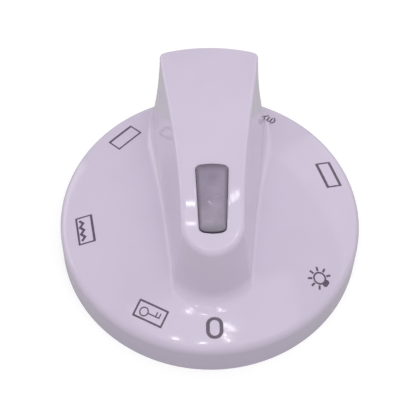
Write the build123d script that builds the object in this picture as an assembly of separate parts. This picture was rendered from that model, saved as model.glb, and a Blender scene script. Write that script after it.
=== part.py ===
from build123d import *
import math
import os

# Function knob of an oven: one glossy moulding of skirt, grip and hub,
# a tinted window let into the crown of the grip, and a leaf spring in the hub.
# Frame: the turning axis is Z, the skirt stands on Z = 0, the nose of the grip points to -Y.

# Skirt, the domed disc: its dome is a part of an ellipse that would reach past the rim,
# and the seam of its round faces is turned to where the disc is bare
SKIRT_RADIUS = 28.0
DRAFT = 1.0
RIM_HEIGHT = 7.1
RIM_ROUND = 1.8
SKIRT_SEAM_TURN = 45.0
DOME_REACH = 4.0
DOME_DEPTH = 8.0
WALL = 2.0

# How far a form runs past the surface that it is cut to
OVERRUN = 3.0

# Grip, seen from above: half widths at five places along its length, at its foot and at its crown
NOSE_Y = -10.2
FLANK_Y = (-22.0, NOSE_Y, 6.0, 16.0, SKIRT_RADIUS + OVERRUN)
FOOT_HALF = (6.7, 8.24, 10.65, 11.5, 8.3)
CROWN_HALF = (4.6, 5.2, 6.55, 7.85, 9.9)
FOOT_LEVEL = 7.0
FLANK_HOLLOW = 0.25

# Crown of the grip, seen from the side
CROWN_HEIGHT = 24.4
CROWN_Y = 1.0
CROWN_FRONT_RADIUS = 45.0
CROWN_FRONT_TURN = 40.0
CROWN_REAR_RADIUS = 190.0
CROWN_WALL = 2.6
CROWN_ROUND = 0.8
TAIL_ROUND = 1.7

# Nose of the grip: a round boss that stands proud of the flanks beside it, a little at the crown
# and more at the foot's level, and flares out where it meets the dome
NOSE_PROUD = 0.07
NOSE_FOOT_PROUD = 1.14
NOSE_FLARE = 3.2
NOSE_FLARE_LIFT = 2.2
NOSE_FLARE_SLOPE = 12.0

# Hub and ribs under the skirt, the hub's closed top a drop below the crown's height
HUB_RADIUS = 6.0
HUB_FACE = 1.0
HUB_DROP = 7.0
HUB_ROOF = 2.0
RIB_COUNT = 6
RIB_THICKNESS = 1.2
RIB_FACE = 2.2

# Bore for a 6 mm shaft with a flat, and its wider round lead-in
SHAFT_RADIUS = 3.0
SHAFT_CLEARANCE = 0.05
SHAFT_ACROSS_FLAT = 4.5
LEAD_IN = 5.0
LEAD_CLEARANCE = 0.25
LEAD_CHAMFER = 0.5

# Window in the crown, its outline's corners at least a least round where it is inset
WINDOW_Y = -5.6
WINDOW_LENGTH = 15.0
WINDOW_REAR_WIDTH = 6.1
WINDOW_FRONT_WIDTH = 4.9
WINDOW_BOW = 0.45
WINDOW_CORNER = 1.1
LEAST_CORNER = 0.22
WINDOW_CLEARANCE = 0.08
PLATE_DEPTH = 1.3
PLATE_PROUD = 0.25
PLATE_ROUND = 0.2
LEDGE = 0.8
BARB_REACH = 0.45
BARB_HEIGHT = 1.2
BARB_LENGTH = 4.0
BARB_CHAMFER = 0.35

# Leaf spring that presses on the flat of the shaft
SPRING_WIDTH = 3.0
SPRING_THICKNESS = 0.35
SPRING_BULGE = 0.2
SPRING_SIDE_PLAY = 0.1
SPRING_POCKET_DEPTH = 1.6
SPRING_FOOT_GAP = 0.02
SPRING_END_GAP = 0.3

# Sizes that follow from the ones above
SPAN = 3 * SKIRT_RADIUS
SLOPE = math.tan(math.radians(DRAFT))
DOME_SPREAD = SKIRT_RADIUS + DOME_REACH
NOSE_FLARE_FOOT = RIM_HEIGHT + NOSE_FLARE_LIFT
HUB_TOP = CROWN_HEIGHT - HUB_DROP
BORE_RADIUS = SHAFT_RADIUS + SHAFT_CLEARANCE
LEAD_RADIUS = SHAFT_RADIUS + LEAD_CLEARANCE
FLAT_Y = SHAFT_ACROSS_FLAT - SHAFT_RADIUS + SHAFT_CLEARANCE
BORE_TOP = HUB_TOP - HUB_ROOF
SLOT_WIDTH = SPRING_WIDTH + 2 * SPRING_SIDE_PLAY
SLOT_BACK = FLAT_Y + SPRING_POCKET_DEPTH

# Ways to seat a block: standing on its lowest face, or running back from its front face
UPRIGHT = (Align.CENTER, Align.CENTER, Align.MIN)
BACKWARD = (Align.CENTER, Align.MIN, Align.MIN)

# Shares of Z and of Y in an edge's direction above which the edge counts as upright or as lengthwise
STEEP = 0.85
LENGTHWISE = 0.5


def skirt_form(inset, floor):
    """Solid under the dome: a drafted wall, a part of an ellipse over it, both inset by a wall."""
    rim = SKIRT_RADIUS - SLOPE * RIM_HEIGHT
    across = DOME_SPREAD - inset
    centre = RIM_HEIGHT - inset - DOME_DEPTH * math.sqrt(1 - (rim / DOME_SPREAD) ** 2)
    turn = math.degrees(math.acos((rim - inset) / across))
    dome = EllipticalCenterArc((0, centre), across, DOME_DEPTH, start_angle=turn, arc_size=90 - turn)
    corner = dome @ 0
    foot = (corner.X + SLOPE * (corner.Y - floor), floor)
    sides = Polyline(dome @ 1, (0, floor), foot, corner)
    form = revolve(Plane.XZ * make_face([dome, sides]), Axis.Z)
    if RIM_ROUND > inset:
        rim_edge = form.edges().filter_by(GeomType.CIRCLE).sort_by(Axis.Z)[-1]
        form = fillet(rim_edge, RIM_ROUND - inset)
    return Rot(0, 0, SKIRT_SEAM_TURN) * form


def under_crown(lift):
    """Everything below the crown line of the grip: two arcs that meet level at the highest point."""
    rear_turn = math.degrees(math.asin((SKIRT_RADIUS + OVERRUN - CROWN_Y) / CROWN_REAR_RADIUS))
    front_centre = (CROWN_Y, CROWN_HEIGHT - CROWN_FRONT_RADIUS)
    rear_centre = (CROWN_Y, CROWN_HEIGHT - CROWN_REAR_RADIUS)
    front = CenterArc(front_centre, CROWN_FRONT_RADIUS + lift, 90, CROWN_FRONT_TURN)
    rear = CenterArc(rear_centre, CROWN_REAR_RADIUS + lift, 90 - rear_turn, rear_turn)
    low = -CROWN_HEIGHT
    sides = Polyline(rear @ 0, ((rear @ 0).X, low), ((front @ 1).X, low), front @ 1)
    return extrude(Plane.YZ * make_face([rear, front, sides]), SPAN / 2, both=True)


def flank_halves(level):
    """Half widths of the flanks at one height, with a hollow half way up."""
    share = (level - FOOT_LEVEL) / (CROWN_HEIGHT - FOOT_LEVEL)
    hollow = 4 * FLANK_HOLLOW * share * (1 - share)
    return [foot + (crown - foot) * share - hollow for foot, crown in zip(FOOT_HALF, CROWN_HALF)]


def flank_section(level, inset):
    """Plan of the two flanks at one height, open fore and aft."""
    halves = [half - inset for half in flank_halves(level)]
    right = Spline([(half, y) for half, y in zip(halves, FLANK_Y)])
    left = Spline([(-half, y) for half, y in zip(halves, FLANK_Y)])
    front = Line(left @ 0, right @ 0)
    rear = Line(left @ 1, right @ 1)
    return Plane.XY.offset(level) * make_face([right, rear, left, front])


def nose_form(inset):
    """Round boss about an upright axis: drafted side, then a hollow flare down to the dome."""
    nose_level = crown_at(NOSE_Y, 0)
    radius = flank_halves(nose_level)[FLANK_Y.index(NOSE_Y)] + NOSE_PROUD
    foot_radius = flank_halves(FOOT_LEVEL)[FLANK_Y.index(NOSE_Y)] + NOSE_FOOT_PROUD
    lean = math.atan((foot_radius - radius) / (nose_level - FOOT_LEVEL))
    slope = math.radians(NOSE_FLARE_SLOPE)
    flare = NOSE_FLARE + inset
    start_height = NOSE_FLARE_FOOT + NOSE_FLARE * math.cos(slope) - flare * math.sin(lean)
    start_radius = radius + (nose_level - start_height) * math.tan(lean) - inset / math.cos(lean)
    top_height = CROWN_HEIGHT + OVERRUN
    top = (start_radius - (top_height - start_height) * math.tan(lean), top_height)
    middle = (start_radius + flare * math.cos(lean), start_height + flare * math.sin(lean))
    turn = math.degrees(lean)
    bow = CenterArc(middle, flare, 180 + turn, 90 - turn - NOSE_FLARE_SLOPE)
    side = Line(top, (start_radius, start_height))
    rest = Polyline(bow @ 1, ((bow @ 1).X, 0), (0, 0), (0, top_height), top)
    form = revolve(Plane.XZ * make_face([side, bow, rest]), Axis.Z)
    return Pos(0, NOSE_Y, 0) * form


def grip_form(inset, ceiling):
    """Grip: lofted flanks, cut to the nose boss in front, the skirt's wall behind and the crown above."""
    middle = (FOOT_LEVEL + CROWN_HEIGHT) / 2
    low = 2 * FOOT_LEVEL - middle
    levels = (low, FOOT_LEVEL, middle, CROWN_HEIGHT, CROWN_HEIGHT + OVERRUN)
    flanks = loft([flank_section(level, inset) for level in levels])
    behind = Pos(0, NOSE_Y, 0) * Box(SPAN, SPAN, SPAN, align=BACKWARD)
    wall_radius = SKIRT_RADIUS - inset
    wall = Cone(wall_radius, wall_radius - SLOPE * SPAN, SPAN, align=UPRIGHT)
    return flanks & (nose_form(inset) + behind) & wall & under_crown(-ceiling)


def grip_outside():
    """Grip with its rounded tail corners and crown edge."""
    grip = grip_form(0, 0)
    tail = [edge for edge in grip.edges()
            if edge.center().Y > SKIRT_RADIUS / 2 and abs(edge.tangent_at(0.5).Z) > STEEP]
    grip = fillet(tail, TAIL_ROUND)
    lowest = crown_at(NOSE_Y - FOOT_HALF[FLANK_Y.index(NOSE_Y)], 0)
    crown = [edge for edge in grip.edges()
             if edge.center().Z > lowest and abs(edge.tangent_at(0.5).Z) < STEEP]
    return fillet(crown, CROWN_ROUND)


def hub_and_ribs():
    """Hub tube with a closed top, and upright ribs from it to the skirt, all inside the shell."""
    hub = Pos(0, 0, HUB_FACE) * Cylinder(HUB_RADIUS, HUB_TOP - HUB_FACE, align=UPRIGHT)
    rib = Pos(HUB_RADIUS / 2, 0, RIB_FACE) * Box(
        SKIRT_RADIUS, RIB_THICKNESS, HUB_TOP - RIB_FACE, align=(Align.MIN, Align.CENTER, Align.MIN))
    for number in range(RIB_COUNT):
        hub += Rot(0, 0, 360 / RIB_COUNT * number) * rib
    buried = WALL / 2
    inside = skirt_form(buried, 0) + grip_form(buried, buried)
    return hub & inside


def shaft_bore():
    """Round lead-in, then a bore with one flat, and a slot behind the flat for the leaf spring."""
    depth = BORE_TOP - HUB_FACE
    bore = Cylinder(BORE_RADIUS, depth, align=UPRIGHT)
    bore -= Pos(0, FLAT_Y, 0) * Box(SPAN, SPAN, SPAN, align=BACKWARD)
    bore += Box(SLOT_WIDTH, SLOT_BACK, depth, align=BACKWARD)
    bore += Cylinder(LEAD_RADIUS, LEAD_IN, align=UPRIGHT)
    bore += Cone(LEAD_RADIUS + LEAD_CHAMFER, LEAD_RADIUS, LEAD_CHAMFER, align=UPRIGHT)
    return Pos(0, 0, HUB_FACE) * bore


def crown_at(y, lift):
    """Height of the crown line at one place along the front arc, lifted by a given amount."""
    radius = CROWN_FRONT_RADIUS + lift
    return CROWN_HEIGHT - CROWN_FRONT_RADIUS + math.sqrt(radius ** 2 - (y - CROWN_Y) ** 2)


def window_plane():
    """Plane that touches the crown at the middle of the window, its Y axis running up the grip."""
    lean = math.asin((CROWN_Y - WINDOW_Y) / CROWN_FRONT_RADIUS)
    middle = (0, WINDOW_Y, crown_at(WINDOW_Y, 0))
    return Plane(origin=middle, x_dir=(1, 0, 0), z_dir=(0, -math.sin(lean), math.cos(lean)))


def window_prism(inset):
    """Upright prism of the window: a tapered outline with bowed ends and round corners."""
    half_length = WINDOW_LENGTH / 2 - inset
    rear = WINDOW_REAR_WIDTH / 2 - inset
    front = WINDOW_FRONT_WIDTH / 2 - inset
    corner = max(WINDOW_CORNER - inset, LEAST_CORNER)
    sides = [Line((side * front, -half_length), (side * rear, half_length)) for side in (-1, 1)]
    rear_end = ThreePointArc((-rear, half_length), (0, half_length + WINDOW_BOW), (rear, half_length))
    front_end = ThreePointArc((-front, -half_length), (0, -half_length - WINDOW_BOW), (front, -half_length))
    outline = make_face([sides[0], rear_end, sides[1], front_end])
    outline = fillet(outline.vertices(), corner)
    return extrude(window_plane() * outline, 2 * CROWN_WALL, both=True)


def knob_body():
    """Moulding: skirt and grip in one shell, cored out from below, with hub and ribs inside."""
    outside = skirt_form(0, 0) + grip_outside()
    hollow = skirt_form(WALL, -WALL) + grip_form(WALL, CROWN_WALL)
    body = outside - hollow + hub_and_ribs() - shaft_bore()
    rebate = window_prism(0) - under_crown(-PLATE_DEPTH)
    return body - rebate - window_prism(LEDGE)


def indicator_lens():
    """Window moulding: a plate on the ledge, a plug through the opening and a barb on each side."""
    gap = WINDOW_CLEARANCE
    plate = window_prism(gap) & under_crown(PLATE_PROUD)
    plate -= under_crown(-PLATE_DEPTH + gap / 2)
    rim = []
    for edge in plate.edges():
        middle = edge.position_at(0.5)
        if middle.Z > crown_at(middle.Y, 0) and abs(middle.Y - CROWN_Y) > gap:
            rim.append(edge)
    plate = fillet(rim, PLATE_ROUND)
    deep = CROWN_WALL + BARB_HEIGHT + gap
    plug = (window_prism(LEDGE + gap) & under_crown(gap - PLATE_DEPTH)) - under_crown(-deep)
    barbs = (window_prism(LEDGE + gap - BARB_REACH) & under_crown(-CROWN_WALL - gap)) - under_crown(-deep)
    barbs &= Pos(0, WINDOW_Y, 0) * Box(SPAN, BARB_LENGTH, SPAN)
    half_down = crown_at(WINDOW_Y, -CROWN_WALL - BARB_HEIGHT / 2)
    lead = [edge for edge in barbs.edges()
            if edge.center().Z < half_down and abs(edge.tangent_at(0.5).Y) > LENGTHWISE]
    return plate + plug + chamfer(lead, BARB_CHAMFER)


def shaft_spring():
    """Bowed leaf in the slot: its ends bear on the back of the slot, its middle stands past the flat."""
    low = HUB_FACE + LEAD_IN + SPRING_END_GAP
    high = BORE_TOP - SPRING_END_GAP
    back = SLOT_BACK - SPRING_FOOT_GAP - SPRING_THICKNESS / 2
    front = FLAT_Y - SPRING_BULGE + SPRING_THICKNESS / 2
    bow = ThreePointArc((back, low), (front, (low + high) / 2), (back, high))
    return extrude(Plane.YZ * trace(bow, SPRING_THICKNESS), SPRING_WIDTH / 2, both=True)


os.makedirs("parts", exist_ok=True)
for make in (knob_body, indicator_lens, shaft_spring):
    export_step(make(), f"parts/{make.__name__}.step")
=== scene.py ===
"""Looks of an oven function knob: its moulding, tinted window, leaf spring and printed marks.

Lengths are millimetres in the knob's own frame and become metres where a mesh is made. The turning
axis is Z, the skirt stands on Z = 0 and the nose of the grip points to -Y.
"""

import math

import bmesh
import bpy
import numpy as np
from bpy.props import FloatProperty, FloatVectorProperty, PointerProperty
from mathutils import Matrix, Vector


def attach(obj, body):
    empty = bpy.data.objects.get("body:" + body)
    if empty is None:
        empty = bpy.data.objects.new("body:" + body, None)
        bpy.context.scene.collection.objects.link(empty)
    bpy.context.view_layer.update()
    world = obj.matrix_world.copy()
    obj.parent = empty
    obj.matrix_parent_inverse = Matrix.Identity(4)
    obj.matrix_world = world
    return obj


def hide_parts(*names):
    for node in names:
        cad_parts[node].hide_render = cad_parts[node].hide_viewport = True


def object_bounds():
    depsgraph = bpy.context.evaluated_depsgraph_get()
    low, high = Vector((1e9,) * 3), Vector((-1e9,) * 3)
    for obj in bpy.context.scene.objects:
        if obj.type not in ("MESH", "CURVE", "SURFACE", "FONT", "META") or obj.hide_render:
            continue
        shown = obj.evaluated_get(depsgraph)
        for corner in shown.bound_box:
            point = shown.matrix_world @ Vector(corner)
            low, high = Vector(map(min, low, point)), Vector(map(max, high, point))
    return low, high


bl_info = {
    "name": "Oven function knob",
    "version": (1, 0, 0),
    "blender": (4, 5, 0),
    "location": "View3D > Sidebar > Knob",
    "description": "Builds the finish of a round oven knob around its solids",
    "category": "Object",
}

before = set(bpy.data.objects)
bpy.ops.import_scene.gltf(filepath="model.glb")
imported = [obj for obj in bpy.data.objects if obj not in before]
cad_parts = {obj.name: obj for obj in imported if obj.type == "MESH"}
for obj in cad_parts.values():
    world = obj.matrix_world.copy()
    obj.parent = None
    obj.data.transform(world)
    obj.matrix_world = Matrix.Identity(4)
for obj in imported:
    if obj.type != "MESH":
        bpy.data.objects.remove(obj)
CAD_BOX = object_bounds()
MM = 0.001

# Light: the world's strength on the knob, the floor's glow where it is seen, and the share of both
# that a gloss shows
WORLD_STRENGTH = 0.55
FLOOR_GLOW = 0.62
GLOSSY_SHARE = 0.15
WHITE = (1.0, 1.0, 1.0, 1.0)

# Skirt and its dome, as in the solids; the radius is read from the imported solids' bounds, and
# DOME_END is the share of the ellipse that distances from the dome are taken from
SKIRT_RADIUS = (CAD_BOX[1][0] - CAD_BOX[0][0]) / 2 / MM
DRAFT = math.radians(1.0)
RIM_HEIGHT = 7.1
DOME_SPREAD = SKIRT_RADIUS + 4.0
DOME_DEPTH = 8.0
DOME_END = 0.98
WALL = 2.0


def dome_height(radius):
    """Height of the dome: the rim's height plus the rise of an ellipse, counted from its rise at
    the rim."""
    rim = SKIRT_RADIUS - math.tan(DRAFT) * RIM_HEIGHT
    at_rim = math.sqrt(1 - (rim / DOME_SPREAD) ** 2)
    rise = np.sqrt(np.maximum(1 - (radius / DOME_SPREAD) ** 2, 0)) - at_rim
    return RIM_HEIGHT + DOME_DEPTH * rise


class Value:
    """A shader socket that takes part in Python arithmetic; each operator adds one Math node."""

    def __init__(self, finish, socket):
        self.finish = finish
        self.socket = socket

    def __add__(self, other):
        return self.finish.math("ADD", self, other)

    __radd__ = __add__

    def __sub__(self, other):
        return self.finish.math("SUBTRACT", self, other)

    def __rsub__(self, other):
        return self.finish.math("SUBTRACT", other, self)

    def __mul__(self, other):
        return self.finish.math("MULTIPLY", self, other)

    __rmul__ = __mul__

    def __truediv__(self, other):
        return self.finish.math("DIVIDE", self, other)

    def __rtruediv__(self, other):
        return self.finish.math("DIVIDE", other, self)

    def __abs__(self):
        return self.finish.math("ABSOLUTE", self)

    def ramp(self, low, high):
        """Smooth step from 0 at low to 1 at high."""
        settings = {"interpolation_type": "SMOOTHSTEP"}
        inputs = {0: self, 1: low, 2: high, 3: 0.0, 4: 1.0}
        return self.finish.node("ShaderNodeMapRange", settings, inputs).out(0)


class Step:
    """One node of a finish, with its outputs as values."""

    def __init__(self, finish, node):
        self.finish = finish
        self.node = node

    def out(self, key):
        """One output, by its name or number."""
        return Value(self.finish, self.node.outputs[key])


class Finish:
    """Node tree of a material or of the world."""

    def __init__(self, owner):
        self.owner = owner
        owner.use_nodes = True
        self.tree = owner.node_tree
        self.tree.nodes.clear()

    def node(self, kind, settings=None, inputs=None):
        """Any node: its type, its settings, then the values or links of its sockets."""
        node = self.tree.nodes.new(kind)
        for key, value in (settings or {}).items():
            setattr(node, key, value)
        for key, value in (inputs or {}).items():
            if isinstance(value, Value):
                self.tree.links.new(value.socket, node.inputs[key])
            else:
                node.inputs[key].default_value = value
        return Step(self, node)

    def math(self, operation, *terms):
        """Math node on values and numbers."""
        return self.node("ShaderNodeMath", {"operation": operation}, dict(enumerate(terms))).out(0)

    def place(self):
        """Object coordinates, in metres."""
        return self.node("ShaderNodeTexCoord").out("Object")

    def split(self, vector):
        """X, Y and Z of a vector as values."""
        parts = self.node("ShaderNodeSeparateXYZ", None, {0: vector})
        return parts.out(0), parts.out(1), parts.out(2)

    def scaled(self, vector, scale):
        """Vector with each part multiplied by its own scale."""
        settings = {"operation": "MULTIPLY"}
        return self.node("ShaderNodeVectorMath", settings, {0: vector, 1: scale}).out(0)

    def noise(self, vector, scale=1.0, detail=3.0):
        """Noise between 0 and 1 over a vector."""
        inputs = {"Vector": vector, "Scale": scale, "Detail": detail, "Roughness": 0.5}
        return self.node("ShaderNodeTexNoise", None, inputs).out(0)

    def mix(self, share, first, second):
        """Colour between two colours."""
        inputs = {0: share, 6: first, 7: second}
        return self.node("ShaderNodeMix", {"data_type": "RGBA"}, inputs).out(2)

    def bump(self, height, strength, distance):
        """Normal tilted by a height."""
        inputs = {"Height": height, "Strength": strength, "Distance": distance}
        return self.node("ShaderNodeBump", None, inputs).out(0)

    def seen(self):
        """1 for a ray from the camera or through glass, and a share for one off a gloss."""
        path = self.node("ShaderNodeLightPath")
        glossy = path.out("Is Glossy Ray") * GLOSSY_SHARE
        sight = self.math("MAXIMUM", path.out("Is Camera Ray"), glossy)
        return self.math("MAXIMUM", sight, path.out("Is Transmission Ray"))

    def surface(self, **inputs):
        """Principled shader on the material's output."""
        named = {key.replace("_", " "): value for key, value in inputs.items()}
        shader = self.node("ShaderNodeBsdfPrincipled", None, named)
        self.node("ShaderNodeOutputMaterial", None, {0: shader.out(0)})
        return self.owner


def shade(colour, share=1.0):
    """Colour with each part times a share, and no more than 1, as a socket takes it."""
    return tuple(min(part * share, 1.0) for part in colour) + (1.0,)


def moulding_finish(colour):
    """Glossy moulded plastic: faint cloudy tint, fine orange peel, hairline rubs that only dull the
    gloss."""
    finish = Finish(bpy.data.materials.new("white_moulding"))
    place = finish.place()
    cloud = finish.noise(place, scale=55.0, detail=4.0)
    base = finish.mix(cloud.ramp(0.3, 0.75), shade(colour), shade(colour, 0.95))
    peel = finish.noise(place, scale=900.0, detail=2.0)
    rubs = finish.noise(finish.scaled(place, (2400.0, 160.0, 500.0)), detail=2.0)
    smudge = finish.noise(place, scale=130.0)
    roughness = smudge * 0.04 + rubs.ramp(0.58, 0.75) * 0.04 + 0.08
    normal = finish.bump(peel, strength=0.18, distance=0.02 * MM)
    return finish.surface(Base_Color=base, Roughness=roughness, Normal=normal, Coat_Weight=0.12,
                          Coat_Roughness=0.05, IOR=1.40)


def window_finish(colour):
    """Smoke-tinted glossy window: cloudy, with a fine peel, and with painted shade that darkens it
    towards its edges, where the share of the way from its middle line to its side, or from its
    middle to its end, comes near 1."""
    finish = Finish(bpy.data.materials.new("tinted_window"))
    place = finish.place()
    across, along = finish.split(place)[:2]
    from_middle = along - SHOWN_Y * MM
    to_side = abs(across) / (from_middle * WINDOW_SLANT + WINDOW_HALF * MM)
    to_end = abs(from_middle) / (SHOWN_LENGTH * (WINDOW_LENGTH / 2 + WINDOW_BOW) * MM)
    edge = finish.math("MAXIMUM", to_side, to_end)
    cloud = finish.noise(place, scale=260.0)
    body = finish.mix(cloud.ramp(0.35, 0.7), shade(colour, 1.12), shade(colour, 0.9))
    # painted shade: towards its edges the window darkens to half its colour
    base = finish.mix(edge.ramp(0.68, 1.0), body, shade(colour, 0.5))
    peel = finish.noise(place, scale=700.0, detail=2.0)
    normal = finish.bump(peel, strength=0.15, distance=0.02 * MM)
    return finish.surface(Base_Color=base, Roughness=cloud * 0.1 + 0.22, Normal=normal,
                          Coat_Weight=0.05, IOR=1.45)


def spring_finish(colour):
    """Rolled spring strip: bright steel with fine lines along its length."""
    finish = Finish(bpy.data.materials.new("spring_steel"))
    place = finish.place()
    lines = finish.noise(finish.scaled(place, (9000.0, 9000.0, 220.0)), detail=2.0)
    base = finish.mix(lines, shade(colour, 0.8), shade(colour))
    normal = finish.bump(lines, strength=0.3, distance=0.01 * MM)
    return finish.surface(Base_Color=base, Roughness=lines * 0.15 + 0.25, Normal=normal,
                          Metallic=1.0)


def ink_finish(colour):
    """Pad-printed ink: flat dark violet with a slight unevenness in density and gloss."""
    finish = Finish(bpy.data.materials.new("print_ink"))
    density = finish.noise(finish.place(), scale=1500.0)
    base = finish.mix(density.ramp(0.45, 0.8), shade(colour), shade(colour, 1.5))
    return finish.surface(Base_Color=base, Roughness=density * 0.15 + 0.25, IOR=1.4)


def floor_finish(colour):
    """Plain floor: matt with a faint grain, and with a glow where it is seen, so that it looks near
    white there and keeps the knob's shadow."""
    finish = Finish(bpy.data.materials.new("studio_floor"))
    grain = finish.noise(finish.place(), scale=40.0)
    base = finish.mix(grain, shade(colour), shade(colour, 0.99))
    matt = finish.node("ShaderNodeBsdfDiffuse", None, {"Color": base}).out(0)
    glow = finish.node("ShaderNodeEmission", None, {"Color": WHITE, "Strength": FLOOR_GLOW}).out(0)
    dark = finish.node("ShaderNodeBsdfTransparent", None, {"Color": (0, 0, 0, 1)}).out(0)
    lit = finish.node("ShaderNodeMixShader", None, {0: finish.seen(), 1: dark, 2: glow}).out(0)
    both = finish.node("ShaderNodeAddShader", None, {0: matt, 1: lit}).out(0)
    finish.node("ShaderNodeOutputMaterial", None, {0: both})
    return finish.owner


def studio_world():
    """Even white surroundings: a dim light, and full white where they are seen."""
    finish = Finish(bpy.data.worlds.new("studio"))
    lit, shown = (
        finish.node("ShaderNodeBackground", None, {"Color": WHITE, "Strength": strength}).out(0)
        for strength in (WORLD_STRENGTH, 1.0))
    both = finish.node("ShaderNodeMixShader", None, {0: finish.seen(), 1: lit, 2: shown}).out(0)
    finish.node("ShaderNodeOutputWorld", None, {0: both})
    return finish.owner


def linked(name, data):
    """Object with some data, put into the scene."""
    made = bpy.data.objects.new(name, data)
    bpy.context.scene.collection.objects.link(made)
    return made


def mesh_object(name, points, faces, material, smooth=True):
    """Mesh object at the origin, its points given in millimetres."""
    mesh = bpy.data.meshes.new(name)
    mesh.from_pydata((np.asarray(points, float) * MM).tolist(), [], [list(face) for face in faces])
    mesh.validate()
    mesh.polygons.foreach_set("use_smooth", [smooth] * len(mesh.polygons))
    mesh.materials.append(material)
    mesh.update()
    return linked(name, mesh)


def arc(centre, radius, start, end, count=24):
    """Points on a circle: its centre plus radius times cosine and sine of an angle, from start to
    end in degrees."""
    angle = np.radians(np.linspace(start, end, count))
    return np.column_stack([centre[0] + radius * np.cos(angle), centre[1] + radius * np.sin(angle)])


# Points on each corner and each side of a printed box, so that every outline has equally many
CORNER_POINTS = 7
SIDE_POINTS = 20


def box_outline(width, height, corner, middle=(0.0, 0.0)):
    """Outline of a box with quarter circles for corners, counter-clockwise."""
    inner_width = width / 2 - corner
    inner_height = height / 2 - corner
    signs = ((1, 1), (-1, 1), (-1, -1), (1, -1))
    centres = [(middle[0] + x * inner_width, middle[1] + y * inner_height) for x, y in signs]
    corners = [arc(centre, corner, 90 * turn, 90 * turn + 90, CORNER_POINTS)
               for turn, centre in enumerate(centres)]
    sides = [np.linspace(here[-1], after[0], SIDE_POINTS)[1:-1]
             for here, after in zip(corners, corners[1:] + corners[:1])]
    return np.vstack([part for pair in zip(corners, sides) for part in pair])


def on_skirt(points, angle, radius, depth):
    """Flat points placed on the skirt: along the tangent and outwards from one spot, a depth below
    its surface."""
    turn = math.radians(angle)
    outward = np.array([math.cos(turn), math.sin(turn)])
    tangent = np.array([-math.sin(turn), math.cos(turn)])
    flat = outward * (radius + points[:, 1:2]) + tangent * points[:, :1]
    height = surface_height(flat[:, 0], flat[:, 1]) - depth
    return np.column_stack([flat, height])


# Ink: how far it stands proud of the skirt and reaches into it, its longest step along a stroke,
# and the outer corner of a frame
INK_LIFT = 0.02
INK_ROOT = 0.06
INK_STEP = 0.25
FRAME_CORNER = 0.16


def lengths(path):
    """Length along a path at each of its points."""
    return np.concatenate([[0], np.cumsum(np.linalg.norm(np.diff(path, axis=0), axis=1))])


def points_at(path, places):
    """Points of a path at given lengths along it, in proportion between its own points."""
    along = lengths(path)
    return np.column_stack([np.interp(places, along, part) for part in path.T])


def dense(path):
    """Path with more points: each straight run is cut into even steps, so that it can follow the
    dome."""
    path = np.asarray(path, float)
    along = lengths(path)
    every = np.unique(np.concatenate([along, np.arange(0, along[-1], INK_STEP)]).round(4))
    return points_at(path, every)


def ribbon(path, width, closed=False):
    """Two edge lines of a stroke: each point moved by half the width along its mitred normal, to
    either side. A mitre reaches no further than the whole width."""
    path = dense(path)
    if closed:
        path = path[:-1]
        before = np.roll(path, 1, 0)
        after = np.roll(path, -1, 0)
    else:
        before = np.vstack([2 * path[0] - path[1], path[:-1]])
        after = np.vstack([path[1:], 2 * path[-1] - path[-2]])
    first = (path - before) / np.linalg.norm(path - before, axis=1, keepdims=True)
    second = (after - path) / np.linalg.norm(after - path, axis=1, keepdims=True)
    sides = np.stack([first[:, ::-1] * (-1, 1), second[:, ::-1] * (-1, 1)])
    mitre = sides.sum(0)
    mitre /= np.linalg.norm(mitre, axis=1, keepdims=True)
    reach = 0.5 * width / np.maximum((mitre * sides[0]).sum(1, keepdims=True), 0.5)
    return path - mitre * reach, path + mitre * reach, closed


def frame(width, height, lines):
    """Two outlines of a box's frame, whose lines are as thick as given: right, outer, left and
    inner side."""
    right, outer, left, inner = lines
    hole = box_outline(width - right - left, height - outer - inner, FRAME_CORNER / 2,
                       ((left - right) / 2, (inner - outer) / 2))
    return box_outline(width, height, FRAME_CORNER), hole, True


def stroke_solid(rails, angle, radius):
    """Closed thin solid of one stroke on the skirt: top and root of both edge lines, joined by four
    strips, and its two ends where it isn't a ring."""
    right, left, closed = rails
    edges = [on_skirt(rail, angle, radius, depth) for rail, depth in (
        (left, -INK_LIFT), (right, -INK_LIFT), (right, INK_ROOT), (left, INK_ROOT))]
    count = len(left)
    steps = np.arange(count if closed else count - 1)
    after = (steps + 1) % count
    faces = [np.column_stack([near + steps, near + after, far + after, far + steps])
             for near, far in count * np.array([(0, 1), (1, 2), (2, 3), (3, 0)])]
    if not closed:
        first = np.arange(4) * count
        faces += [first[None], first[None, ::-1] + count - 1]
    return np.vstack(edges), np.vstack(faces).tolist()


def spot_solid(outline, angle, radius):
    """Closed thin solid of one filled spot on the skirt: its outline's top and root rings, each
    filled from its middle."""
    count = len(outline)
    middle = outline.mean(0, keepdims=True)
    points = np.vstack([on_skirt(part, angle, radius, depth)
                        for part in (outline, middle) for depth in (-INK_LIFT, INK_ROOT)])
    steps = np.arange(count)
    after = (steps + 1) % count
    top = np.column_stack([steps, after, np.full(count, 2 * count)])
    root = np.column_stack([after + count, steps + count, np.full(count, 2 * count + 1)])
    side = np.column_stack([after, steps, steps + count, after + count])
    return points, top.tolist() + root.tolist() + side.tolist()


def mark_object(name, strokes, spots, angle, radius, material):
    """One printed mark: all its strokes and spots joined in one mesh."""
    points = []
    faces = []
    start = 0
    solids = [stroke_solid(rails, angle, radius) for rails in strokes]
    solids += [spot_solid(outline, angle, radius) for outline in spots]
    for solid_points, solid_faces in solids:
        points.append(solid_points)
        faces += [[corner + start for corner in face] for face in solid_faces]
        start += len(solid_points)
    made = mesh_object(name, np.vstack(points), faces, material, smooth=False)
    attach(made, "root")


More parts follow.
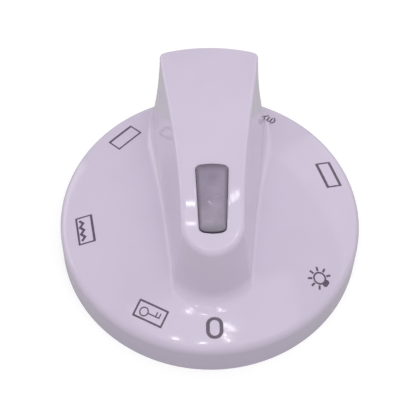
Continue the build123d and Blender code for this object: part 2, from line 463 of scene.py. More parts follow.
# Grip, as in the solids: half widths at five places along its length, at its foot and at its crown,
# the crown's two arcs, and the nose with its flare; only the sinking slope past the flare and the
# widening are drawn here
NOSE_Y = -10.2
FLANK_Y = (-22.0, NOSE_Y, 6.0, 16.0, SKIRT_RADIUS + 3.0)
FOOT_HALF = (6.7, 8.24, 10.65, 11.5, 8.3)
CROWN_HALF = (4.6, 5.2, 6.55, 7.85, 9.9)
FOOT_LEVEL = 7.0
FLANK_HOLLOW = 0.25
CROWN_HEIGHT = 24.4
CROWN_Y = 1.0
CROWN_FRONT_RADIUS = 45.0
CROWN_REAR_RADIUS = 190.0
NOSE_PROUD = 0.07
NOSE_FOOT_PROUD = 1.14
NOSE_FLARE = 3.2
NOSE_FLARE_FOOT = RIM_HEIGHT + 2.2
NOSE_FLARE_SLOPE = math.radians(12.0)
NOSE_SINK = math.radians(24.0)
NOSE_WIDENING = 0.5

# Rounds of the moulding; the nose's, the foot's with its growth behind the middle, and the mouth's
# are only here. The rear edge's goes from the rim's to the crown's within CROWN_BLEND of the crown.
RIM_ROUND = 1.8
CROWN_ROUND = 0.8
TAIL_ROUND = 1.7
NOSE_ROUND = 2.2
FOOT_ROUND = 0.9
FOOT_GROWTH = 1.1
FOOT_GROWTH_Y = 14.0
FOOT_GROWTH_SPREAD = 6.0
MOUTH_ROUND = 0.15
CROWN_BLEND = 1.0

# Cosine of the angle between the normals of the two surfaces at each round, and its least and most
# at the foot
NOSE_COSINE = 0.93
TAIL_COSINE = 0.4
CROWN_COSINE = 0.18
RIM_COSINE = 0.36
FOOT_COSINES = (-0.2, 0.98)

# Window's outline in the crown, the depth of its rebate and the wall that its opening goes through,
# as in the solids
WINDOW_Y = -5.6
WINDOW_LENGTH = 15.0
WINDOW_REAR_WIDTH = 6.1
WINDOW_FRONT_WIDTH = 4.9
WINDOW_BOW = 0.45
WINDOW_CORNER = 1.1
WINDOW_TAPER = (WINDOW_REAR_WIDTH - WINDOW_FRONT_WIDTH) / 2 / WINDOW_LENGTH
PLATE_DEPTH = 1.3
CROWN_WALL = 2.6

# Window as the photograph shows it: its middle along the grip, its length and width as shares of
# the solids', and from these its half width at its middle and the growth of that along the grip
SHOWN_Y = -6.4
SHOWN_LENGTH = 0.805
SHOWN_WIDTH = 0.95
WINDOW_HALF = SHOWN_WIDTH * (WINDOW_REAR_WIDTH + WINDOW_FRONT_WIDTH) / 4
WINDOW_SLANT = WINDOW_TAPER * SHOWN_WIDTH / SHOWN_LENGTH

# How the moulding's outside is sampled: columns from front to rear, and the rows of each stretch
# from crown to foot
NOSE_COLUMNS = 30
SIDE_COLUMNS = 44
WINDOW_END_COLUMNS = 8
SLIT_COLUMNS = 52
TAIL_COLUMNS = 14
REAR_COLUMNS = 14
ROWS = (26, 44, 40, 22)
MOUTH_ROWS = 6
MOUTH_CORNER_POINTS = 12

# How its columns run: from the window's mouth and from the middle line as far as SLIT_END, across
# the grip's outline on rays that turn about the nose's axis and the tail's centre, and fanned out
# to a place beyond the rim
OUTLINE_LEVEL = 20.0
SLIT_END = 21.0
OUTLINE_LEAD = 1.2
TAIL_CENTRE = (6.3, 22.0)
FAN_SPREAD = 1.2
FAN_REACH = 27.0
RIM_REACH = 1.25
MARCH_STEP = 0.2
MARCH_COUNT = 310
CORRECTIONS = 2

# Height above the dome and above the foot at which a stretch of rows ends, and how a bend draws
# rows together
DOME_MARK = 0.5
RIM_MARK = 6.2
BEND_WEIGHT = 1.2

# Step for a slope, how often an interval is halved, and the least length that divides anything
FINE = 0.01
HALVINGS = 40
TINY = 1e-8

# What is kept of the solid's mesh: how deep it lies below the outside, the room round the window
# and under its rebate, how far a wall may lean from square to the window, and the strip under the
# new mouth that is bridged
INSIDE_DEPTH = 0.3 * WALL
MARGIN = 0.1
REBATE_MARGIN = 0.03
WALL_LEAN = 0.5
MOUTH_SEAM = 0.05

# Distances within which points are merged and edges dropped, and the angle past which an edge stays
# sharp
MERGE_REACH = 0.002
PLATE_MERGE_REACH = 0.001
DEGENERATE_REACH = 0.0005
SHARP_ANGLE = math.radians(32)


def rounded_meet(first, second, cosine, radius):
    """Common part of two solids given by distances: beyond both, set back by the radius, the
    distance is that to the line where they meet, which rounds their edge; cosine is that of the
    angle between their normals."""
    a = first + radius
    b = second + radius
    corner = (a > cosine * b) & (b > cosine * a)
    apart = np.sqrt(np.maximum(a * a + b * b - 2 * cosine * a * b, 0) / (1 - cosine ** 2))
    return np.where(corner, apart, np.maximum(a, b)) - radius


def rounded_join(first, second, cosine, radius):
    """Both solids together: the rounded common part of their outsides, turned about."""
    return -rounded_meet(-first, -second, cosine, radius)


def wall_field(x, y, z):
    """Distance from the skirt's drafted wall: distance from the axis less a radius that shrinks
    upwards."""
    return (np.hypot(x, y) - SKIRT_RADIUS + z * math.tan(DRAFT)) * math.cos(DRAFT)


def dome_field(x, y, z):
    """Distance from the dome: height above it, shortened by its slope there; near the ellipse's
    steep end both are taken from one last place."""
    radius = np.minimum(np.hypot(x, y) / DOME_SPREAD, DOME_END)
    slope = DOME_DEPTH / DOME_SPREAD * radius / np.sqrt(1 - radius ** 2)
    return (z - dome_height(radius * DOME_SPREAD)) / np.sqrt(1 + slope ** 2)


def crown_radius(y):
    """Radius of the crown's arc at a place along the grip: two arcs that meet level at the highest
    point."""
    return np.where(y < CROWN_Y, CROWN_FRONT_RADIUS, CROWN_REAR_RADIUS)


def crown_field(y, z):
    """Distance from the crown: distance from its arc's centre in the side view, less the arc's
    radius."""
    radius = crown_radius(y)
    return np.hypot(y - CROWN_Y, z - CROWN_HEIGHT + radius) - radius


def crown_height(y):
    """Height of the crown line over a place along the grip: the arc's centre plus the upright side
    of the triangle that its radius and the way from the highest point make."""
    radius = crown_radius(y)
    return CROWN_HEIGHT - radius + np.sqrt(radius ** 2 - (y - CROWN_Y) ** 2)


FOOT_CURVE = np.polyfit(FLANK_Y, FOOT_HALF, 4)
CROWN_CURVE = np.polyfit(FLANK_Y, CROWN_HALF, 4)


def flank_half(y, z):
    """Half width of the grip: from foot to crown in proportion to the height, less a shallow hollow
    between."""
    share = (z - FOOT_LEVEL) / (CROWN_HEIGHT - FOOT_LEVEL)
    foot = np.polyval(FOOT_CURVE, y)
    crown = np.polyval(CROWN_CURVE, y)
    return foot + (crown - foot) * share - 4 * FLANK_HOLLOW * share * (1 - share)


def flank_field(x, y, z):
    """Distance from the flanks: distance past the half width, shortened by the flank's slants."""
    along = (flank_half(y + FINE, z) - flank_half(y - FINE, z)) / (2 * FINE)
    up = (flank_half(y, z + FINE) - flank_half(y, z - FINE)) / (2 * FINE)
    return (np.abs(x) - flank_half(y, z)) / np.sqrt(1 + along ** 2 + up ** 2)


# Nose's height, its radius there and the lean of its side, from the crown and the flanks at its
# axis
NOSE_LEVEL = float(crown_height(NOSE_Y))
NOSE_RADIUS = float(flank_half(NOSE_Y, NOSE_LEVEL)) + NOSE_PROUD
NOSE_LEAN = math.atan((float(flank_half(NOSE_Y, FOOT_LEVEL)) + NOSE_FOOT_PROUD - NOSE_RADIUS)
                      / (NOSE_LEVEL - FOOT_LEVEL))


def nose_field(x, y, z):
    """Distance from the nose: a leaning side about an upright axis, then a hollow arc down to a
    gentle slope, and from the arc's end a steeper one under the dome; behind its axis the nose
    widens in proportion."""
    ahead = np.minimum(y - NOSE_Y, 0)
    behind = np.maximum(y - NOSE_Y, 0)
    start_height = NOSE_FLARE_FOOT + NOSE_FLARE * (math.cos(NOSE_FLARE_SLOPE) - math.sin(NOSE_LEAN))
    start_radius = NOSE_RADIUS + (NOSE_LEVEL - start_height) * math.tan(NOSE_LEAN)
    side = np.hypot(x, ahead) - start_radius - NOSE_FLARE * math.cos(NOSE_LEAN)
    up = z - start_height - NOSE_FLARE * math.sin(NOSE_LEAN)
    start = (-math.cos(NOSE_LEAN), -math.sin(NOSE_LEAN))
    end = (-math.sin(NOSE_FLARE_SLOPE), -math.cos(NOSE_FLARE_SLOPE))
    before = start[0] * up - start[1] * side <= 0
    past = side * end[1] - up * end[0] <= 0
    straight = side * start[0] + up * start[1]
    flare = NOSE_FLARE - np.where(before & ~past, straight, np.hypot(side, up))
    past_side = side - NOSE_FLARE * end[0]
    past_up = up - NOSE_FLARE * end[1]
    sink = past_side * math.sin(NOSE_SINK) + past_up * math.cos(NOSE_SINK)
    return np.where(past, sink, flare) - NOSE_WIDENING * behind


def sides_field(x, y, z):
    """Distance from the grip's sides: flanks and nose with a soft edge between them."""
    return rounded_meet(flank_field(x, y, z), nose_field(x, y, z), NOSE_COSINE, NOSE_ROUND)


def plan_field(x, y, z):
    """Distance from the grip seen from above: its sides, cut to the skirt's wall behind."""
    return rounded_meet(sides_field(x, y, z), wall_field(x, y, z), TAIL_COSINE, TAIL_ROUND)


def normal_of(field, x, y, z):
    """Unit normal of a field, from differences over a fine step either way."""
    steps = np.stack([field(x + FINE, y, z) - field(x - FINE, y, z),
                      field(x, y + FINE, z) - field(x, y - FINE, z),
                      field(x, y, z + FINE) - field(x, y, z - FINE)])
    return steps / np.maximum(np.linalg.norm(steps, axis=0), TINY)


def body_field(x, y, z):
    """Distance from the whole moulding's outside: the grip under its crown, joined to the dome by a
    hollow that is widest behind the middle, and all of it cut to the wall by a round that is
    smaller at the crown."""
    sides = sides_field(x, y, z)
    crown = crown_field(y, z)
    grip = rounded_meet(sides, crown, CROWN_COSINE, CROWN_ROUND)
    cosine = (normal_of(sides_field, x, y, z) * normal_of(dome_field, x, y, z)).sum(0)
    hollow = FOOT_ROUND + FOOT_GROWTH * np.exp(-((y - FOOT_GROWTH_Y) / FOOT_GROWTH_SPREAD) ** 2)
    inner = rounded_join(grip, dome_field(x, y, z), np.clip(cosine, *FOOT_COSINES), hollow)
    at_crown = np.clip((crown - sides + CROWN_BLEND) / (2 * CROWN_BLEND), 0, 1)
    edge = RIM_ROUND + (CROWN_ROUND - RIM_ROUND) * at_crown
    return rounded_meet(wall_field(x, y, z), inner, RIM_COSINE, edge)


def turning_point(field, inside, outside):
    """Where a field turns positive between a value inside and one outside, found by halving the
    interval."""
    for _ in range(HALVINGS):
        middle = (inside + outside) / 2
        beyond = field(middle) > 0
        outside = np.where(beyond, middle, outside)
        inside = np.where(beyond, inside, middle)
    return outside


def surface_height(x, y):
    """Height of the moulding's outside over a spot, between a little under the dome and above the
    crown."""
    low = dome_height(np.hypot(x, y)) - RIM_ROUND
    high = np.full(np.shape(x), CROWN_HEIGHT + 1)
    return turning_point(lambda height: body_field(x, y, height), low, high)


def window_frame():
    """Middle of the window on the crown, its direction up the grip and its normal."""
    lean = math.asin((CROWN_Y - WINDOW_Y) / CROWN_FRONT_RADIUS)
    height = CROWN_HEIGHT - CROWN_FRONT_RADIUS + CROWN_FRONT_RADIUS * math.cos(lean)
    return (np.array([0, WINDOW_Y, height]), np.array([0, math.cos(lean), math.sin(lean)]),
            np.array([0, -math.sin(lean), math.cos(lean)]))


def window_end(half_width):
    """Round corner and bowed end of the window, as if it were the rear one: centre of the corner's
    circle, centre and radius of the bow, and the direction in which the two circles touch."""
    inward = math.copysign(WINDOW_TAPER, half_width - WINDOW_FRONT_WIDTH / 2 - WINDOW_TAPER)
    bow = (half_width ** 2 + WINDOW_BOW ** 2) / (2 * WINDOW_BOW)
    bow_y = WINDOW_LENGTH / 2 + WINDOW_BOW - bow
    corner_x = half_width - WINDOW_CORNER * (1 + inward)
    corner_y = bow_y + math.sqrt((bow - WINDOW_CORNER) ** 2 - corner_x ** 2)
    return (corner_x, corner_y), bow_y, bow, math.degrees(math.atan2(corner_y - bow_y, corner_x))


def window_half():
    """Right half of the window's outline in its own plane, from the front's middle to the rear's
    middle, in three parts: the front bow, the side with its two corners, and the rear bow."""
    turn = math.degrees(math.atan(WINDOW_TAPER))
    front, front_y, front_bow, front_turn = window_end(WINDOW_FRONT_WIDTH / 2)
    rear, rear_y, rear_bow, rear_turn = window_end(WINDOW_REAR_WIDTH / 2)
    corners = [arc((front[0], -front[1]), WINDOW_CORNER, -front_turn, -turn, MOUTH_CORNER_POINTS),
               arc(rear, WINDOW_CORNER, -turn, rear_turn, MOUTH_CORNER_POINTS)]
    front_end = arc((0, -front_y), front_bow, -90, -front_turn)
    return front_end, np.vstack(corners), arc((0, rear_y), rear_bow, rear_turn, 90)


def evenly(path, count):
    """Path resampled to a number of points at even steps along it."""
    return points_at(path, np.linspace(0, lengths(path)[-1], count))


def shown_window(points):
    """Points of the window and its opening drawn together to the size that the photograph shows:
    across and along the grip in proportion, and up or down with the crown."""
    across, along, height = np.moveaxis(points, -1, 0)
    drawn = SHOWN_Y + SHOWN_LENGTH * (along - WINDOW_Y)
    moved = height + crown_height(drawn) - crown_height(along)
    return np.stack([SHOWN_WIDTH * across, drawn, moved], axis=-1)


def mouth_rows():
    """Window's wall and rounded mouth, from the wall's foot to the crown, a row for each depth and
    a column for each point of the outline's right half: a quarter circle carried along the
    outline."""
    front, side, rear = window_half()
    outline = np.vstack([evenly(front, NOSE_COLUMNS)[:-1], evenly(side, SIDE_COLUMNS)[:-1],
                         evenly(rear, WINDOW_END_COLUMNS)])
    along = np.gradient(outline, axis=0)
    away = np.column_stack([along[:, 1], -along[:, 0]])
    away /= np.linalg.norm(along, axis=1, keepdims=True)
    away[0] = (0, -1)
    away[-1] = (0, 1)
    origin, forward, up = window_frame()
    right = np.array([1.0, 0, 0])
    outward = away[:, :1] * right + away[:, 1:] * forward
    mouth = origin + outline[:, :1] * right + outline[:, 1:] * forward + MOUTH_ROUND * outward
    mouth[:, 2] = crown_height(mouth[:, 1])
    turns = np.radians(np.linspace(90, 0, MOUTH_ROWS))[:, None, None]
    centre = mouth - MOUTH_ROUND * up
    rounded = centre - MOUTH_ROUND * (np.sin(turns) * outward - np.cos(turns) * up)
    wall = rounded[0] - (PLATE_DEPTH - MOUTH_ROUND - MOUTH_SEAM) * up
    return shown_window(np.concatenate([wall[None], rounded]))


def crossing(origin, direction):
    """Point where a level ray leaves the grip's plan outline."""
    def field(reach):
        spot = origin + reach[:, None] * direction
        return plan_field(spot[:, 0], spot[:, 1], OUTLINE_LEVEL)

    near = np.zeros(len(origin))
    reach = turning_point(field, near, near + 2 * SKIRT_RADIUS)
    return origin + reach[:, None] * direction


def column_starts(mouth):
    """Starts of the columns on the crown and the points of the grip's outline that they pass: round
    the window, along the middle line behind it, and from the line's end to the tail's corner and
    its rear."""
    turns = np.radians(np.linspace(-90, 0, NOSE_COLUMNS))
    nose = np.column_stack([np.cos(turns), np.sin(turns)])
    slit_start = mouth[-1, 1]
    outline_start = slit_start + OUTLINE_LEAD
    places = np.concatenate([
        np.linspace(NOSE_Y, slit_start, SIDE_COLUMNS)[1:],
        np.linspace(slit_start, outline_start, WINDOW_END_COLUMNS)[1:],
        np.linspace(outline_start, TAIL_CENTRE[1], SLIT_COLUMNS)[1:]])
    corner = np.radians(np.linspace(0, 90, TAIL_COLUMNS)[1:])
    across = np.linspace(TAIL_CENTRE[0], 0, REAR_COLUMNS)[1:]
    origins = np.vstack([np.tile((0, NOSE_Y), (NOSE_COLUMNS, 1)),
                         np.column_stack([0 * places, places]),
                         np.tile(TAIL_CENTRE, (len(corner), 1)),
                         np.column_stack([across, np.full(len(across), TAIL_CENTRE[1])])])
    directions = np.vstack([nose, np.tile((1.0, 0), (len(places), 1)),
                            np.column_stack([np.cos(corner), np.sin(corner)]),
                            np.tile((0, 1.0), (len(across), 1))])
    slit = np.linspace(slit_start, SLIT_END, SLIT_COLUMNS)[1:]
    rest = len(corner) + len(across)
    starts = np.vstack([mouth[:, :2], np.column_stack([0 * slit, slit]),
                        np.tile((0, SLIT_END), (rest, 1))])
    return starts, crossing(origins, directions)


def body_columns(starts, passes):
    """Right half of the moulding's outside. Each column is traced from the crown outwards and down
    to the foot in an upright sheet that runs straight to the grip's outline and from there towards
    its own place beyond the rim: a step along the surface, then the corrections back onto it along
    its normal."""
    reach = np.linalg.norm(passes - starts, axis=1)
    first = (passes - starts) / reach[:, None]
    spread = 1 + FAN_SPREAD * np.maximum(0, 1 - (passes[:, 1] / FAN_REACH) ** 2)
    bearing = np.arctan2(passes[:, 1], passes[:, 0] * spread)
    rim = RIM_REACH * SKIRT_RADIUS * np.column_stack([np.cos(bearing), np.sin(bearing)]) - passes
    second = rim / np.linalg.norm(rim, axis=1, keepdims=True)

    def spot(along):
        inner = np.minimum(along, reach)[..., None] * first
        outer = np.maximum(along - reach, 0)[..., None] * second
        return starts + inner + outer

    def field(along, height):
        place = spot(along)
        return body_field(place[..., 0], place[..., 1], height)

    def slopes(along, height):
        here = field(along, height)
        level = (field(along + FINE, height) - here) / FINE
        return here, level, (field(along, height + FINE) - here) / FINE

    along = np.zeros(len(starts))
    height = crown_height(starts[:, 1])
    trace = [(along, height)]
    for _ in range(MARCH_COUNT):
        _, level, upright = slopes(along, height)
        size = np.hypot(level, upright)
        along = along + MARCH_STEP * upright / size
        height = height - MARCH_STEP * level / size
        for _ in range(CORRECTIONS):
            here, level, upright = slopes(along, height)
            size = np.maximum(level ** 2 + upright ** 2, FINE)
            along = along - here * level / size
            height = height - here * upright / size
        trace.append((along, height))
    along, height = np.moveaxis(np.array(trace), 1, 0)
    along, height = resampled(along, height, spot)
    return np.concatenate([spot(along), height[..., None]], axis=-1)


def resampled(along, height, spot):
    """Rows of the traced columns: four stretches, to the grip's outline, the dome, the rim and the
    foot, each with its own number of rows, closer together where the surface bends."""
    place = spot(along)
    steps = np.hypot(np.diff(along, axis=0), np.diff(height, axis=0))
    bearing = np.unwrap(np.arctan2(np.diff(height, axis=0), np.diff(along, axis=0)), axis=0)
    bend = np.abs(np.diff(bearing, axis=0, append=bearing[-1:]))
    weight = np.cumsum(steps + BEND_WEIGHT * bend, axis=0)
    weight = np.concatenate([np.zeros((1, along.shape[1])), weight])
    above = dome_field(place[..., 0], place[..., 1], height)
    marks = [np.zeros(along.shape[1])]
    columns = np.arange(along.shape[1])
    ends = ((height, OUTLINE_LEVEL), (above, DOME_MARK), (height, RIM_MARK), (height, 0.0))
    for value, level in ends:
        after = np.argmax(value < level, axis=0)
        high, low = value[after - 1, columns], value[after, columns]
        before = weight[after - 1, columns]
        share = (high - level) / (high - low)
        marks.append(before + share * (weight[after, columns] - before))
    parts = [start + (end - start) * np.linspace(0, 1, rows + 1)[:-1, None]
             for start, end, rows in zip(marks, marks[1:], ROWS)]
    wanted = np.vstack(parts + [marks[-1][None]])
    apart = columns * (2 * weight.max())
    traced = (weight + apart).T.ravel()
    asked = (wanted + apart).T.ravel()
    return (np.interp(asked, traced, part.T.ravel()).reshape(wanted.T.shape).T
            for part in (along, height))


def grid_faces(rows, columns, start, turned):
    """Quads of a grid whose points are counted row by row from a start; turned for a mirrored
    grid."""
    corner = start + (np.arange(rows - 1)[:, None] * columns + np.arange(columns - 1)).ravel()
    quads = np.column_stack([corner, corner + columns, corner + columns + 1, corner + 1])
    return quads[:, ::-1] if turned else quads


def inside_of(body):
    """Triangles of the solid's mesh that the outside doesn't replace: those well below the outside,
    without the flat foot ring and the window's wall. Returns points in millimetres and corner
    numbers."""
    mesh = body.data
    points = np.empty(len(mesh.vertices) * 3, np.float32)
    mesh.vertices.foreach_get("co", points)
    corners = np.empty(len(mesh.loops), np.int32)
    mesh.loops.foreach_get("vertex_index", corners)
    points = points.reshape(-1, 3).astype(float) / MM
    corners = corners.reshape(-1, 3)
    triangles = points[corners]
    middle = triangles.mean(1)
    normal = np.cross(triangles[:, 1] - triangles[:, 0], triangles[:, 2] - triangles[:, 0])
    normal /= np.maximum(np.linalg.norm(normal, axis=1, keepdims=True), TINY)
    deep = body_field(*middle.T) < -INSIDE_DEPTH
    from_axis = np.hypot(middle[:, 0], middle[:, 1])
    ring = (middle[:, 2] < FINE) & (from_axis > SKIRT_RADIUS - WALL - MARGIN)
    up = window_frame()[2]
    wall = near_window(middle, PLATE_DEPTH + REBATE_MARGIN) & (np.abs(normal @ up) < WALL_LEAN)
    kept = deep & ~ring & ~wall
    opening = near_window(points, CROWN_WALL + MARGIN)
    points[opening] = shown_window(points[opening])
    return points, corners[kept]


def near_window(points, depth):
    """Whether points lie within the window's length and width, as in the solids, and no deeper
    under the crown than given."""
    origin, forward, _ = window_frame()
    beside = np.abs(points[:, 0]) < WINDOW_REAR_WIDTH / 2 + MARGIN
    along = np.abs((points - origin) @ forward) < WINDOW_LENGTH / 2 + WINDOW_BOW + MARGIN
    return beside & along & (crown_height(points[:, 1]) - points[:, 2] < depth)


def window_object(lens, material):
    """Window as a copy of the solid's mesh, merged and drawn together to the size that the
    photograph shows."""
    shape = bmesh.new()
    shape.from_mesh(lens.data)
    bmesh.ops.remove_doubles(shape, verts=shape.verts, dist=PLATE_MERGE_REACH * MM)
    points = shown_window(np.array([point.co for point in shape.verts]) / MM)
    for point, place in zip(shape.verts, points * MM):
        point.co = place
    bmesh.ops.recalc_face_normals(shape, faces=shape.faces)
    mesh = bpy.data.meshes.new("tinted_plate")
    shape.to_mesh(mesh)
    shape.free()
    mesh.polygons.foreach_set("use_smooth", [True] * len(mesh.polygons))
    mesh.set_sharp_from_angle(angle=SHARP_ANGLE)
    mesh.materials.append(material)
    return linked("tinted_plate", mesh)


def body_object(body, material):
    """Moulding as one closed mesh: the traced outside, mirrored, the window's mouth, and the
    solid's own inside, bridged to them at the foot ring and at the window's ledge."""
    mouth = mouth_rows()
    outside = body_columns(*column_starts(mouth[-1]))
    points = []
    faces = []
    count = 0
    for grid in (outside, mouth):
        for turned in (False, True):
            rows, columns = grid.shape[:2]
            faces += grid_faces(rows, columns, count, turned).tolist()
            points.append(grid.reshape(-1, 3) * ((-1, 1, 1) if turned else (1, 1, 1)))
            count += rows * columns
    inner_points, inner_corners = inside_of(body)
    faces += (inner_corners + count).tolist()
    points.append(inner_points)
    made = mesh_object("moulded_body", np.vstack(points), faces, material)
    close_mesh(made.data)
    made.data.set_sharp_from_angle(angle=SHARP_ANGLE)
    return made


def close_mesh(mesh):
    """Merges doubles, drops loose points, bridges the two pairs of open rims and turns all faces
    outwards."""
    shape = bmesh.new()
    shape.from_mesh(mesh)
    bmesh.ops.remove_doubles(shape, verts=shape.verts, dist=MERGE_REACH * MM)
    bmesh.ops.dissolve_degenerate(shape, edges=shape.edges, dist=DEGENERATE_REACH * MM)
    loose = [point for point in shape.verts if not point.link_faces]
    bmesh.ops.delete(shape, geom=loose, context="VERTS")
    rims = [edge for edge in shape.edges if edge.is_boundary]
    foot = [edge for edge in rims if edge.verts[0].co.z < RIM_HEIGHT * MM]
    ledge = [edge for edge in rims if edge.verts[0].co.z >= RIM_HEIGHT * MM]
    for pair in (foot, ledge):
        bmesh.ops.bridge_loops(shape, edges=pair)
    bmesh.ops.recalc_face_normals(shape, faces=shape.faces)
    open_edges = sum(not edge.is_manifold for edge in shape.edges)
    if open_edges:
        raise RuntimeError(f"The moulding's mesh has {open_edges} open edges")
    for face in shape.faces:
        face.smooth = True
    shape.to_mesh(mesh)
    shape.free()


class KnobColours(bpy.types.PropertyGroup):
    """Colours of the knob's finishes."""

    moulding: FloatVectorProperty(name="Moulding", description="Colour of the glossy moulding",
                                  default=(0.635, 0.56, 0.70),
                                  subtype="COLOR", size=3, min=0.0, max=1.0)
    window: FloatVectorProperty(name="Window", description="Colour of the tinted window",
                                default=(0.28, 0.235, 0.32),
                                subtype="COLOR", size=3, min=0.0, max=1.0)
    spring: FloatVectorProperty(name="Spring", description="Colour of the spring steel",
                                default=(0.62, 0.62, 0.64),
                                subtype="COLOR", size=3, min=0.0, max=1.0)
    ink: FloatVectorProperty(name="Ink", description="Colour of the printed marks",
                             default=(0.105, 0.078, 0.12),
                             subtype="COLOR", size=3, min=0.0, max=1.0)
    floor: FloatVectorProperty(name="Floor", description="Colour of the studio floor",
                               default=(0.45, 0.45, 0.45),
                               subtype="COLOR", size=3, min=0.0, max=1.0)


class KnobSizes(bpy.types.PropertyGroup):
    """Sizes of the printed pictograms."""

    mark_width: FloatProperty(name="Mark width", description="Width of a pictogram's frame",
                              default=5.8 * MM, min=1.0 * MM,
                              unit="LENGTH", precision=5)
    mark_height: FloatProperty(name="Mark height", description="Height of a pictogram's frame",
                               default=3.2 * MM, min=1.0 * MM,
                               unit="LENGTH", precision=5)
    mark_line: FloatProperty(name="Mark line", description="Thickness of a pictogram's plain line",
                             default=0.28 * MM, min=0.05 * MM,
                             unit="LENGTH", precision=5)


class KNOB_OT_body(bpy.types.Operator):
    """Build the moulding's outside round the solid's inside"""

    bl_idname = "knob.body"
    bl_label = "Moulding"

    def execute(self, context):
        material = moulding_finish(context.scene.knob_colours.moulding)
        moulded = body_object(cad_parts["knob_body"], material)
        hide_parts("knob_body")
        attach(moulded, "root")
        return {"FINISHED"}


class KNOB_OT_window(bpy.types.Operator):
    """Build the tinted window at the size that the photograph shows"""

    bl_idname = "knob.window"
    bl_label = "Window"

    def execute(self, context):
        material = window_finish(context.scene.knob_colours.window)
        plate = window_object(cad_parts["indicator_lens"], material)
        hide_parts("indicator_lens")
        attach(plate, "root")
        return {"FINISHED"}


class KNOB_OT_spring(bpy.types.Operator):
    """Give the leaf spring its finish"""

    bl_idname = "knob.spring"
    bl_label = "Leaf spring"

    def execute(self, context):
        material = spring_finish(context.scene.knob_colours.spring)
        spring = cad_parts["shaft_spring"]
        spring.material_slots[0].link = "OBJECT"
        spring.material_slots[0].material = material
        return {"FINISHED"}


# Each mark's place on the skirt: its angle, counted from +X towards +Y, and its distance from the
# axis
ZERO_PLACE = (270.8, 23.8)
TOP_HEAT_PLACE = (133.8, 23.3)
BOTH_HEATS_PLACE = (19.6, 23.95)
GRILL_PLACE = (189.4, 23.25)
KEY_PLACE = (242.5, 23.55)
LAMP_PLACE = (323.8, 24.0)
FAN_PLACE = (60.4, 24.25)


def zero_mark(line):
    """A tall round-ended zero, thicker at its sides."""
    width, height = 3.04, 3.67
    corner, hole_corner = 1.35, 0.8
    side, end = 2.4 * line, 1.8 * line
    hole = box_outline(width - 2 * side, height - 2 * end, hole_corner)
    return [(box_outline(width, height, corner), hole, True)], []


def top_heat_mark(width, height, line):
    """A frame with a thick outer side."""
    return [frame(width, height, (line, 1.7 * line, line, 1.2 * line))], []


def both_heats_mark(width, height, line):
    """A frame with a thick outer and a thick inner side."""
    return [frame(width, height, (1.15 * line, 2.0 * line, 1.15 * line, 2.0 * line))], []


def grill_mark(width, height, line):
    """A frame with a grill element, a zigzag of three peaks near its outer side."""
    reach, outer, inner, corners = 2.15, 0.9, 0.25, 7
    across = np.linspace(-reach, reach, corners)
    outwards = np.where(np.arange(corners) % 2 == 0, outer, inner)
    box = frame(width, height, (line, 1.3 * line, line, 1.6 * line))
    return [box, ribbon(np.column_stack([across, outwards]), 1.6 * line)], []


def key_mark(width, height, line):
    """A frame with a key: a ring, a shaft and two teeth."""
    thin = 0.8 * line
    shaft, tooth_length = 0.2, 0.85
    ring_middle, ring_radius, shaft_end = -1.2, 0.75, 1.85
    ring = ribbon(arc((ring_middle, shaft), ring_radius, 0, 360, 33), thin, True)
    bar = ribbon([(ring_middle + ring_radius, shaft), (shaft_end, shaft)], thin)
    teeth = [ribbon([(place, shaft), (place, shaft - tooth_length)], thin) for place in (1.1, 1.75)]
    return [frame(width, height, (1.2 * line,) * 4), ring, bar, *teeth], []


def lamp_mark(line):
    """A lamp: a round bulb, its dark base outwards, and seven rays that spread evenly round the
    rest."""
    bulb_radius, ray_start, ray_end = 1.05, 1.35, 2.15
    rays = []
    for turn in np.radians(np.linspace(57, 303, 7)):
        ray = np.array([math.sin(turn), math.cos(turn)])
        rays.append(ribbon([ray * ray_start, ray * ray_end], 1.35 * line))
    bulb = ribbon(arc((0, 0), bulb_radius, 0, 360, 37), 1.1 * line, True)
    base = box_outline(1.4, 0.95, 0.4, middle=(0, 1.4))
    return [bulb, *rays], [base]


def fan_mark(line):
    """A small fan: three blades between two bowed lines."""
    bow_radius, half, left, right = 1.05, 0.65, -0.35, 0.3
    bows = [ribbon(arc((0, 0), bow_radius, 60 + turn, -60 + turn, 15), line) for turn in (0, 180)]
    blades = [ribbon([(place, -half), (place, half)], line) for place in (left, right)]
    return [*bows, *blades, ribbon([(left, -half), (right, -half)], line)], []


class KNOB_OT_marks(bpy.types.Operator):
    """Print the marks round the skirt"""

    bl_idname = "knob.marks"
    bl_label = "Printed marks"

    def execute(self, context):
        ink = ink_finish(context.scene.knob_colours.ink)
        sizes = context.scene.knob_sizes
        line = sizes.mark_line / MM
        box = (sizes.mark_width / MM, sizes.mark_height / MM, line)
        mark_object("print_zero", *zero_mark(line), *ZERO_PLACE, ink)
        mark_object("print_top_heat", *top_heat_mark(*box), *TOP_HEAT_PLACE, ink)
        mark_object("print_both_heats", *both_heats_mark(*box), *BOTH_HEATS_PLACE, ink)
        mark_object("print_grill", *grill_mark(*box), *GRILL_PLACE, ink)
        mark_object("print_key", *key_mark(*box), *KEY_PLACE, ink)
        mark_object("print_lamp", *lamp_mark(line), *LAMP_PLACE, ink)
        mark_object("print_fan", *fan_mark(line), *FAN_PLACE, ink)
        return {"FINISHED"}


# Camera, fitted to the skirt's two ellipses and the ring of marks; pixels are the photograph's
CAMERA_ELEVATION = math.radians(58.75)
CAMERA_TURN = math.radians(-2.6)
CAMERA_DISTANCE = 7.5 * SKIRT_RADIUS
CAMERA_ROLL = math.radians(1.8)
CAMERA_TARGET = (0.0, 0.0, 6.85)
CAMERA_CLIP = 10.0
FOCAL_PIXELS = 1124.6
FRAME_PIXELS = 420.0
SHIFT_PIXELS = (0.1, 6.15)
SENSOR = 36.0

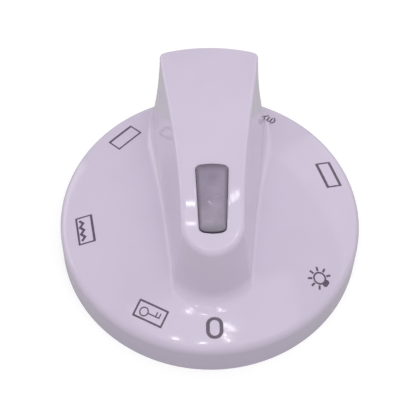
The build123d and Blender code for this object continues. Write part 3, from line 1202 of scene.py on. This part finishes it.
# Studio: the floor's reach, the spot that the lamps face, and each lamp's name, place, size and
# light; the small lamps are the highlights on the crown, the dome and the rim
FLOOR_REACH = 30000.0
LAMP_TARGET = (0, 0, 10)
LAMPS = (
    ("lamp_overhead", (40, -140, 400), (420, 420), 0.32),
    ("lamp_left", (-400, 220, 130), (420, 260), 0.26),
    ("lamp_right", (380, 260, 220), (520, 400), 0.22),
    ("lamp_front", (0, -420, 200), (300, 200), 0.06),
    ("lamp_spot_crown", (1, 60, 410), (14, 10), 0.012),
    ("lamp_strip_crown", (24, 92, 413), (7, 50), 0.012),
    ("lamp_strip_front", (44, -62, 402), (7, 40), 0.014),
    ("lamp_strip_rim", (40, -106, 400), (7, 48), 0.016),
    ("lamp_spot_left", (-36, -9, 409), (10, 10), 0.005),
    ("lamp_spot_middle", (-5, -13, 409), (10, 10), 0.005),
    ("lamp_spot_rim_left", (-80, -121, 408), (14, 14), 0.01),
    ("lamp_spot_rim_middle", (-14, -138, 408), (14, 14), 0.01),
)


def soft_lamp(name, place, size, strength):
    """Rectangular lamp that faces the knob; its strength is the light it casts there, as a share of
    white."""
    data = bpy.data.lights.new(name, "AREA")
    data.shape = "RECTANGLE"
    data.size = size[0] * MM
    data.size_y = size[1] * MM
    away = (Vector(place) - Vector(LAMP_TARGET)) * MM
    data.energy = strength * math.pi * math.pi * away.length_squared
    made = linked(name, data)
    made.location = Vector(place) * MM
    made.rotation_euler = away.to_track_quat("Z", "Y").to_euler()


def knob_camera():
    """Camera at its distance from the target, turned about the knob's axis and raised, then
    rolled."""
    data = bpy.data.cameras.new("camera")
    data.sensor_width = SENSOR
    data.lens = FOCAL_PIXELS * SENSOR / FRAME_PIXELS
    data.shift_x = -SHIFT_PIXELS[0] / FRAME_PIXELS
    data.shift_y = SHIFT_PIXELS[1] / FRAME_PIXELS
    data.clip_start = CAMERA_CLIP * MM
    level = math.cos(CAMERA_ELEVATION)
    back = Vector((math.sin(CAMERA_TURN) * level, -math.cos(CAMERA_TURN) * level,
                   math.sin(CAMERA_ELEVATION)))
    right = Vector((0, 0, 1)).cross(back).normalized()
    turned = Matrix((right, back.cross(right), back)).transposed().to_4x4()
    place = Matrix.Translation((Vector(CAMERA_TARGET) + back * CAMERA_DISTANCE) * MM)
    camera = linked("camera", data)
    camera.matrix_world = place @ turned @ Matrix.Rotation(CAMERA_ROLL, 4, "Z")
    return camera


class KNOB_OT_stage(bpy.types.Operator):
    """Set up floor, world, lamps and camera"""

    bl_idname = "knob.stage"
    bl_label = "Stage"

    def execute(self, context):
        scene = context.scene
        scene.view_settings.view_transform = "Standard"
        material = floor_finish(scene.knob_colours.floor)
        signs = ((-1, -1), (1, -1), (1, 1), (-1, 1))
        corners = [(x * FLOOR_REACH, y * FLOOR_REACH, 0) for x, y in signs]
        mesh_object("floor", corners, [(0, 1, 2, 3)], material)
        scene.world = studio_world()
        for setting in LAMPS:
            soft_lamp(*setting)
        scene.camera = knob_camera()
        return {"FINISHED"}


class KNOB_PT_panel(bpy.types.Panel):
    """Lists the knob's pieces, colours and sizes"""

    bl_label = "Oven knob"
    bl_idname = "KNOB_PT_panel"
    bl_space_type = "VIEW_3D"
    bl_region_type = "UI"
    bl_category = "Knob"

    def draw(self, context):
        for group in (context.scene.knob_colours, context.scene.knob_sizes):
            for key in group.bl_rna.properties.keys():
                if key not in ("rna_type", "name"):
                    self.layout.prop(group, key)
        for operator in OPERATORS:
            self.layout.operator(operator.bl_idname)


OPERATORS = (KNOB_OT_body, KNOB_OT_window, KNOB_OT_spring, KNOB_OT_marks, KNOB_OT_stage)
CLASSES = (KnobColours, KnobSizes, *OPERATORS, KNOB_PT_panel)


def register():
    for each in CLASSES:
        bpy.utils.register_class(each)
    bpy.types.Scene.knob_colours = PointerProperty(type=KnobColours)
    bpy.types.Scene.knob_sizes = PointerProperty(type=KnobSizes)


def unregister():
    del bpy.types.Scene.knob_colours
    del bpy.types.Scene.knob_sizes
    for each in reversed(CLASSES):
        bpy.utils.unregister_class(each)


def main():
    """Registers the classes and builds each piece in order."""
    register()
    bpy.ops.knob.body()
    bpy.ops.knob.window()
    bpy.ops.knob.spring()
    bpy.ops.knob.marks()
    bpy.ops.knob.stage()


if __name__ == "__main__":
    main()
